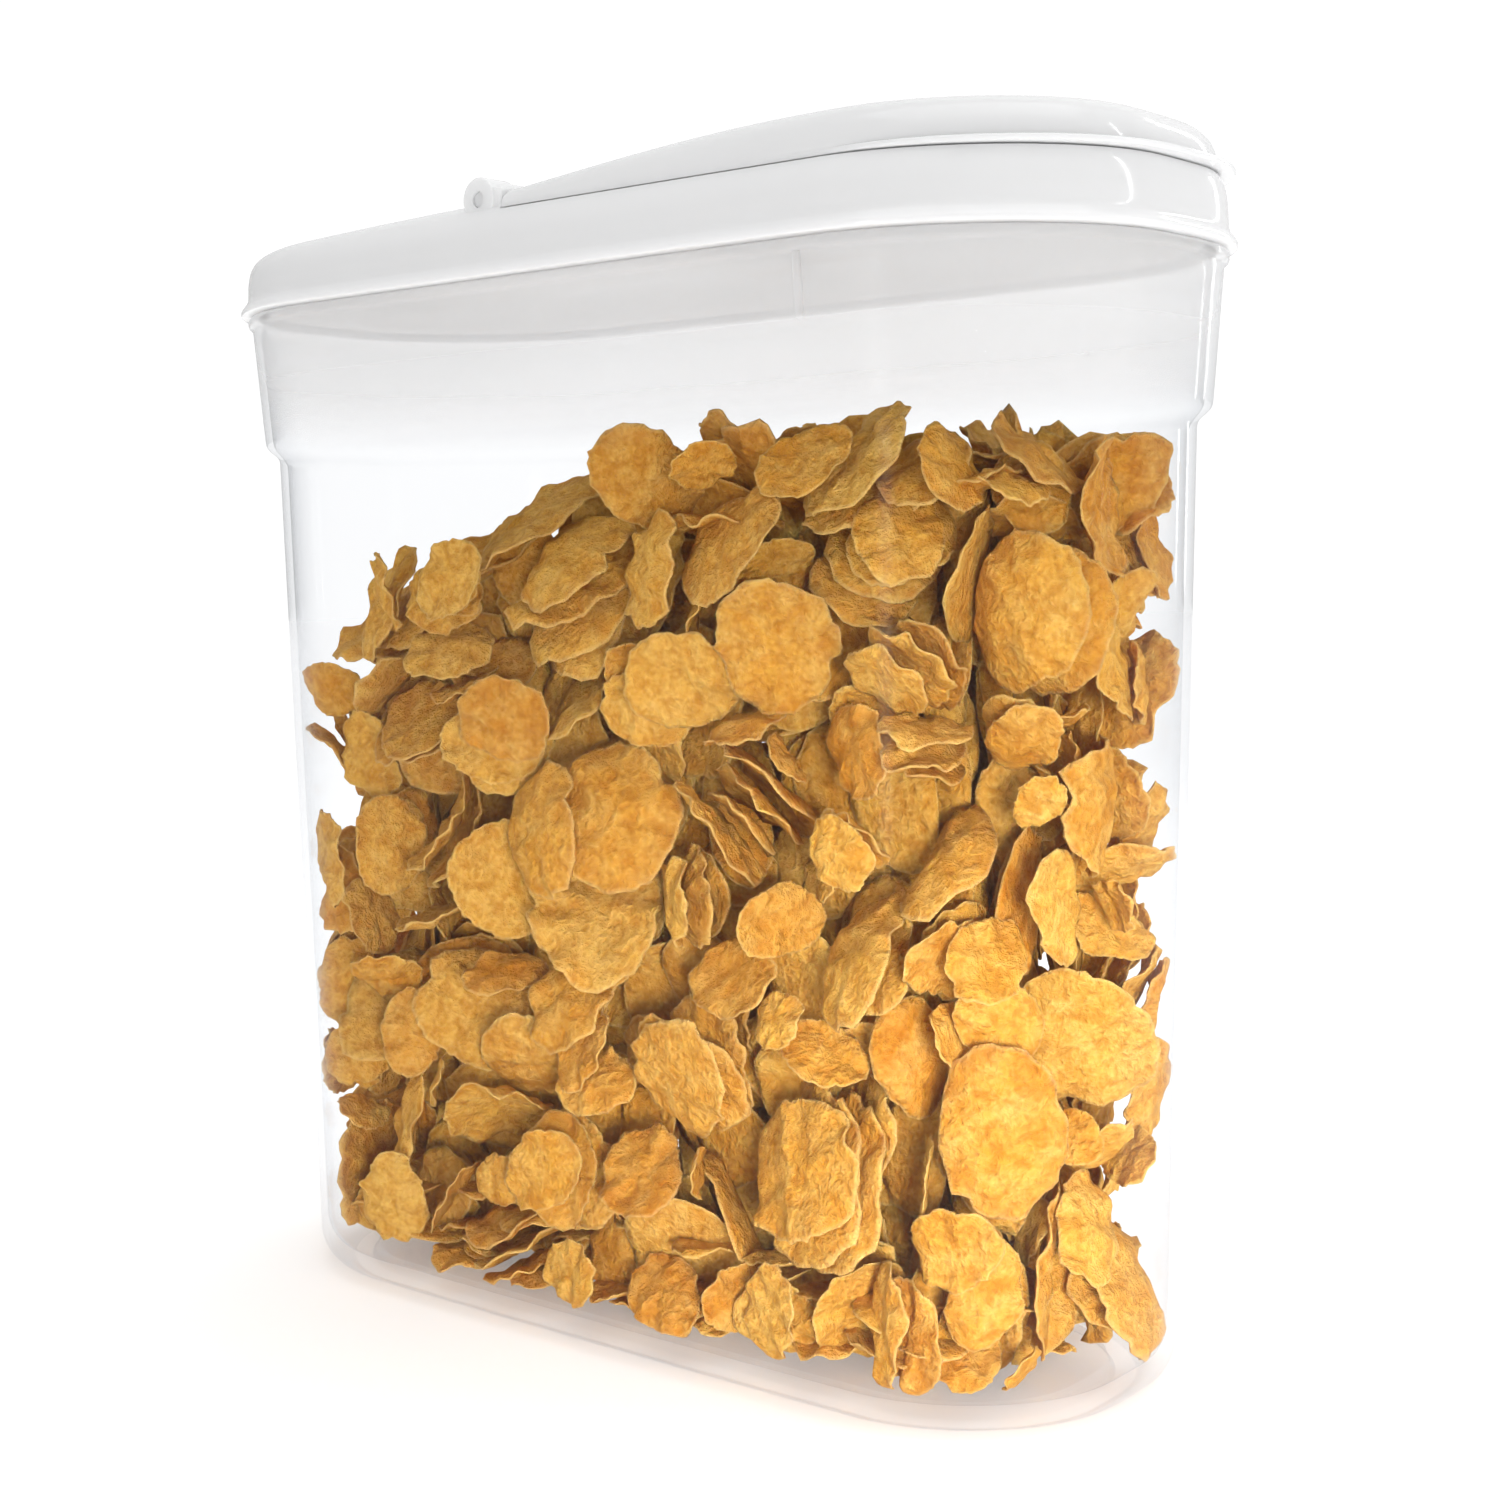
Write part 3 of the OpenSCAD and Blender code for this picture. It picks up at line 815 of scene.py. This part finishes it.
def white_plastic(name, base, rough=0.2, spread=0.05):
    m = Nodes(name)
    p = m.add("ShaderNodeBsdfPrincipled")
    c = m.coords()
    tone = m.ramp(m.noise(28, 3, 0.55, c), [(0.3, tuple(v * 0.975 for v in base)), (0.7, base)])
    flow = m.ramp(m.noise(9, 2, 0.5, c, 0.4), [(0.35, (0.985, 0.985, 0.99)), (0.65, (1, 1, 1))])
    m.link(m.mix(1.0, tone, flow, "MULTIPLY"), p.inputs["Base Color"])
    m.link(m.map(m.noise(160, 4, 0.6, c), 0.3, 0.7, rough - spread, rough + spread), p.inputs["Roughness"])
    grain = m.math("ADD", m.math("MULTIPLY", m.noise(950, 2, 0.5, c), 0.35), m.math("MULTIPLY", m.noise(70, 2, 0.5, c), 1.0))
    m.link(m.bump(grain, 0.12, 0.00018), p.inputs["Normal"])
    p.inputs["IOR"].default_value = 1.5
    p.inputs["Subsurface Weight"].default_value = 0.45
    p.inputs["Subsurface Scale"].default_value = 1.0
    p.inputs["Subsurface Radius"].default_value = (0.005, 0.005, 0.005)
    m.link(p.outputs[0], m.out.inputs["Surface"])
    return m.mat


def seal_rubber(name, base):
    m = Nodes(name)
    p = m.add("ShaderNodeBsdfPrincipled")
    c = m.coords()
    m.link(m.ramp(m.noise(120, 3, 0.6, c), [(0.3, tuple(v * 0.93 for v in base)), (0.7, base)]), p.inputs["Base Color"])
    m.link(m.map(m.noise(300, 3, 0.6, c), 0.3, 0.7, 0.42, 0.6), p.inputs["Roughness"])
    m.link(m.bump(m.noise(900, 2, 0.5, c), 0.25, 0.0001), p.inputs["Normal"])
    p.inputs["IOR"].default_value = 1.42
    m.link(p.outputs[0], m.out.inputs["Surface"])
    return m.mat


def clear_plastic(name):
    """Clear below, milkier at the collar, greyer and shinier where it is seen edge-on."""
    m = Nodes(name)
    c = m.coords()
    xyz = m.add("ShaderNodeSeparateXYZ")
    m.link(c, xyz.inputs[0])
    high = m.map(xyz.outputs["Z"], 0.200, 0.214)
    lw = m.add("ShaderNodeLayerWeight")
    lw.inputs["Blend"].default_value = 0.5
    facing = lw.outputs["Facing"]
    normal = m.bump(m.math("ADD", m.noise(42, 2, 0.5, c), m.math("MULTIPLY", m.noise(420, 2, 0.5, c), 0.06)), 0.10, 0.0006)
    clear = m.add("ShaderNodeBsdfTransparent")
    m.link(m.ramp(m.math("POWER", facing, 3.0), [(0.0, (0.985, 0.987, 0.99)), (1.0, (0.86, 0.87, 0.885))]), clear.inputs["Color"])
    milk = m.add("ShaderNodeBsdfDiffuse")
    m.link(m.ramp(m.noise(16, 3, 0.5, c), [(0.3, (0.90, 0.905, 0.91)), (0.7, (0.94, 0.942, 0.945))]), milk.inputs["Color"])
    low = m.map(m.noise(14, 2, 0.5, c), 0.3, 0.7, 0.0005, 0.003)
    haze = m.math("ADD", m.math("ADD", low, m.math("ADD", m.math("MULTIPLY", high, 0.24), m.math("MULTIPLY", m.map(xyz.outputs["Z"], 0.212, 0.232), 0.16))), m.math("MULTIPLY", m.math("POWER", facing, 5.0), 0.06), clamp=True)
    body = m.add("ShaderNodeMixShader")
    m.link(haze, body.inputs[0])
    m.link(clear.outputs[0], body.inputs[1])
    m.link(milk.outputs[0], body.inputs[2])
    gloss = m.add("ShaderNodeBsdfGlossy")
    gloss.inputs["Color"].default_value = (1, 1, 1, 1)
    m.link(m.map(m.noise(90, 3, 0.6, c), 0.3, 0.7, 0.06, 0.13), gloss.inputs["Roughness"])
    m.link(normal, gloss.inputs["Normal"])
    schlick = m.math("ADD", m.math("MULTIPLY", m.math("POWER", facing, 6.0), 0.6), 0.004, clamp=True)
    top = m.add("ShaderNodeMixShader")
    m.link(schlick, top.inputs[0])
    m.link(body.outputs[0], top.inputs[1])
    m.link(gloss.outputs[0], top.inputs[2])
    m.link(top.outputs[0], m.out.inputs["Surface"])
    return m.mat


def corn_flake(name):
    m = Nodes(name)
    p = m.add("ShaderNodeBsdfPrincipled")
    c = m.coords()
    tone, toast, rim = m.attr("tone"), m.attr("toast"), m.attr("rim")
    base = m.ramp(tone, [(0.0, (0.82, 0.41, 0.055)), (0.35, (0.90, 0.50, 0.085)), (0.7, (0.94, 0.575, 0.13)), (1.0, (0.77, 0.35, 0.04))])
    patch = m.noise(130, 4, 0.6, c, 0.6)
    mottled = m.mix(m.map(patch, 0.38, 0.68), base, m.mix(0.45, base, (0.97, 0.70, 0.25)))
    fine = m.noise(900, 4, 0.65, c)
    grained = m.mix(m.map(fine, 0.42, 0.62, 0.0, 0.55), m.mix(1.0, mottled, (0.82, 0.70, 0.52), "MULTIPLY"), mottled)
    browned = m.math("MULTIPLY", m.math("MULTIPLY", m.math("POWER", rim, 5.0), m.map(m.noise(210, 3, 0.6, c), 0.42, 0.66)), m.map(toast, 0.2, 1.0, 0.1, 0.75))
    wrinkle = m.math("ADD", m.noise(260, 5, 0.62, c, 0.6), m.math("MULTIPLY", m.noise(620, 4, 0.6, c, 0.3), 0.6))
    # painted shade: the colour is darkened where the wrinkle noise is low, the same noise that raises the bump, so the
    # hollows of the wrinkles look shadowed
    creased_painted_shade = m.mix(m.map(wrinkle, 0.66, 0.88), m.mix(1.0, grained, (0.79, 0.67, 0.49), "MULTIPLY"), grained)
    # painted highlight: the outermost rim of each flake is lightened towards pale gold as if it catches the light; the
    # brown from browned just inside it is the flake's own toasting
    edge = m.math("MULTIPLY", m.map(rim, 0.94, 1.0), 0.36)
    toast_and_rim_highlight = m.mix(edge, m.mix(browned, creased_painted_shade, (0.50, 0.20, 0.045)), (0.97, 0.68, 0.27))
    specks = m.map(m.noise(1500, 2, 0.5, c), 0.66, 0.74, 0.0, 0.55)
    blister = m.math("MULTIPLY", m.map(m.noise(300, 3, 0.55, c, 0.8), 0.60, 0.72), m.map(toast, 0.45, 1.0, 0.0, 0.45))
    colour = m.mix(specks, m.mix(blister, toast_and_rim_highlight, (0.60, 0.27, 0.06)), (0.42, 0.17, 0.05))
    m.link(colour, p.inputs["Base Color"])
    m.link(m.map(fine, 0.3, 0.7, 0.55, 0.8), p.inputs["Roughness"])
    p.inputs["IOR"].default_value = 1.4
    p.inputs["Specular IOR Level"].default_value = 0.12
    p.inputs["Subsurface Weight"].default_value = 0.15
    p.inputs["Subsurface Scale"].default_value = 1.0
    p.inputs["Subsurface Radius"].default_value = (0.0022, 0.0011, 0.0004)
    m.link(m.bump(m.math("ADD", wrinkle, m.math("MULTIPLY", fine, 0.25)), 1.0, 0.0022), p.inputs["Normal"])
    m.link(p.outputs[0], m.out.inputs["Surface"])
    return m.mat


def set_material(ob, mat):
    ob.data.materials.clear()
    ob.data.materials.append(mat)


clear = clear_plastic("clear_container_plastic")
lid_mat = white_plastic("lid_white_plastic", (0.85, 0.852, 0.856), 0.09, 0.02)
flap_mat = white_plastic("flap_white_plastic", (0.85, 0.852, 0.856), 0.085, 0.02)
pin_mat = white_plastic("pin_white_plastic", (0.80, 0.802, 0.806), 0.32, 0.08)
seal_mat = seal_rubber("seal_silicone", (0.74, 0.74, 0.72))
flake_mat = corn_flake("corn_flake_toasted")
set_material(container, clear)
set_material(lid, lid_mat)
set_material(flap, flap_mat)
for o in (pin_l, pin_r):
    set_material(o, pin_mat)
for o in (rim_seal, mouth_seal):
    set_material(o, seal_mat)
for o in flakes:
    set_material(o, flake_mat)
for n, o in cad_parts.items():
    set_material(o, {"container": clear, "lid": lid_mat, "flap": flap_mat, "hinge_pin_left": pin_mat, "hinge_pin_right": pin_mat}.get(n, seal_mat))

# ------------------------------------------------------------------ riding on the frame
for ob, body, node, slot in ((container, "container", "container", "clear_body"), (lid, "lid", "lid", "lid_white"), (flap, "flap", "flap", "flap_white"),
                             (pin_l, "flap", "hinge_pin_left", "pin_white"), (pin_r, "flap", "hinge_pin_right", "pin_white"),
                             (rim_seal, "lid", "lid_gasket", "seal"), (mouth_seal, "flap", "flap_gasket", "seal")):
    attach(ob, body)
    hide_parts(node)
for ob in flakes:
    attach(ob, "container")

# ------------------------------------------------------------------ floor, world and lights
floor = new_object("floor", [(-6, -6, 0), (6, -6, 0), (6, 6, 0), (-6, 6, 0)], [(0, 1, 2, 3)])
fm = Nodes("floor_white")
fp = fm.add("ShaderNodeBsdfDiffuse")
fm.link(fm.ramp(fm.noise(3, 2, 0.5), [(0.3, (0.93, 0.93, 0.93)), (0.7, (0.95, 0.95, 0.95))]), fp.inputs["Color"])
fe = fm.add("ShaderNodeEmission")
fe.inputs["Strength"].default_value = 0.27
fa = fm.add("ShaderNodeAddShader")
fm.link(fp.outputs[0], fa.inputs[0])
fm.link(fe.outputs[0], fa.inputs[1])
fm.link(fa.outputs[0], fm.out.inputs["Surface"])
set_material(floor, fm.mat)

world = bpy.data.worlds.new("studio")
scene.world = world
world.use_nodes = True
wt = world.node_tree
wt.nodes.clear()
wo = wt.nodes.new("ShaderNodeOutputWorld")
bg = wt.nodes.new("ShaderNodeBackground")
tc = wt.nodes.new("ShaderNodeTexCoord")
dot = wt.nodes.new("ShaderNodeVectorMath")
dot.operation = "DOT_PRODUCT"
dot.inputs[1].default_value = (0.0, 0.4, 0.9)
wt.links.new(tc.outputs["Generated"], dot.inputs[0])
mr = wt.nodes.new("ShaderNodeMapRange")
wt.links.new(dot.outputs["Value"], mr.inputs["Value"])
mr.inputs["From Min"].default_value = -0.1
mr.inputs["From Max"].default_value = 0.9
mr.inputs["To Min"].default_value = 0.25
mr.inputs["To Max"].default_value = 1.08
seen = wt.nodes.new("ShaderNodeLightPath")
backdrop = wt.nodes.new("ShaderNodeMath")
backdrop.operation = "MAXIMUM"
wt.links.new(mr.outputs["Result"], backdrop.inputs[0])
pale = wt.nodes.new("ShaderNodeMath")
pale.operation = "MULTIPLY"
pale.inputs[1].default_value = 1.06
wt.links.new(seen.outputs["Is Camera Ray"], pale.inputs[0])
wt.links.new(pale.outputs[0], backdrop.inputs[1])
wt.links.new(backdrop.outputs[0], bg.inputs["Strength"])
bg.inputs["Color"].default_value = (1, 1, 1, 1)
wt.links.new(bg.outputs[0], wo.inputs["Surface"])


def area(name, at, target, size, size_y, power, spread=180):
    data = bpy.data.lights.new(name, "AREA")
    data.shape = "RECTANGLE"
    data.size, data.size_y, data.energy = size, size_y, power
    data.spread = math.radians(spread)
    ob = bpy.data.objects.new(name, data)
    scene.collection.objects.link(ob)
    ob.location = at
    ob.rotation_euler = (Vector(target) - Vector(at)).to_track_quat("-Z", "Y").to_euler()
    return ob


def around(az, dist, z):
    return (0.1 + dist * math.cos(math.radians(az)), dist * math.sin(math.radians(az)), z)


mid = (0, 0, 0.13)
area("key_top", (0.25, -0.15, 1.35), (0, 0, 0.1), 1.3, 1.0, 3.6)
area("key_right", (0.52, -0.44, 0.10), (0.09, -0.02, 0.045), 0.16, 0.16, 0.25, 32).visible_glossy = False
area("streak", (0.02, -0.78, 0.17), (0.1, 0, 0.12), 0.10, 0.34, 0.5)
area("strip_a", around(24, 1.0, 0.52), (0.1, 0, 0.24), 0.03, 0.8, 0.95)
area("strip_b", around(80, 1.0, 0.52), (0.1, 0, 0.24), 0.06, 0.8, 1.4)

scene.view_settings.view_transform = "Standard"
scene.view_settings.look = "None"
scene.cycles.max_bounces = 14
scene.cycles.transparent_max_bounces = 24
scene.cycles.use_denoising = True
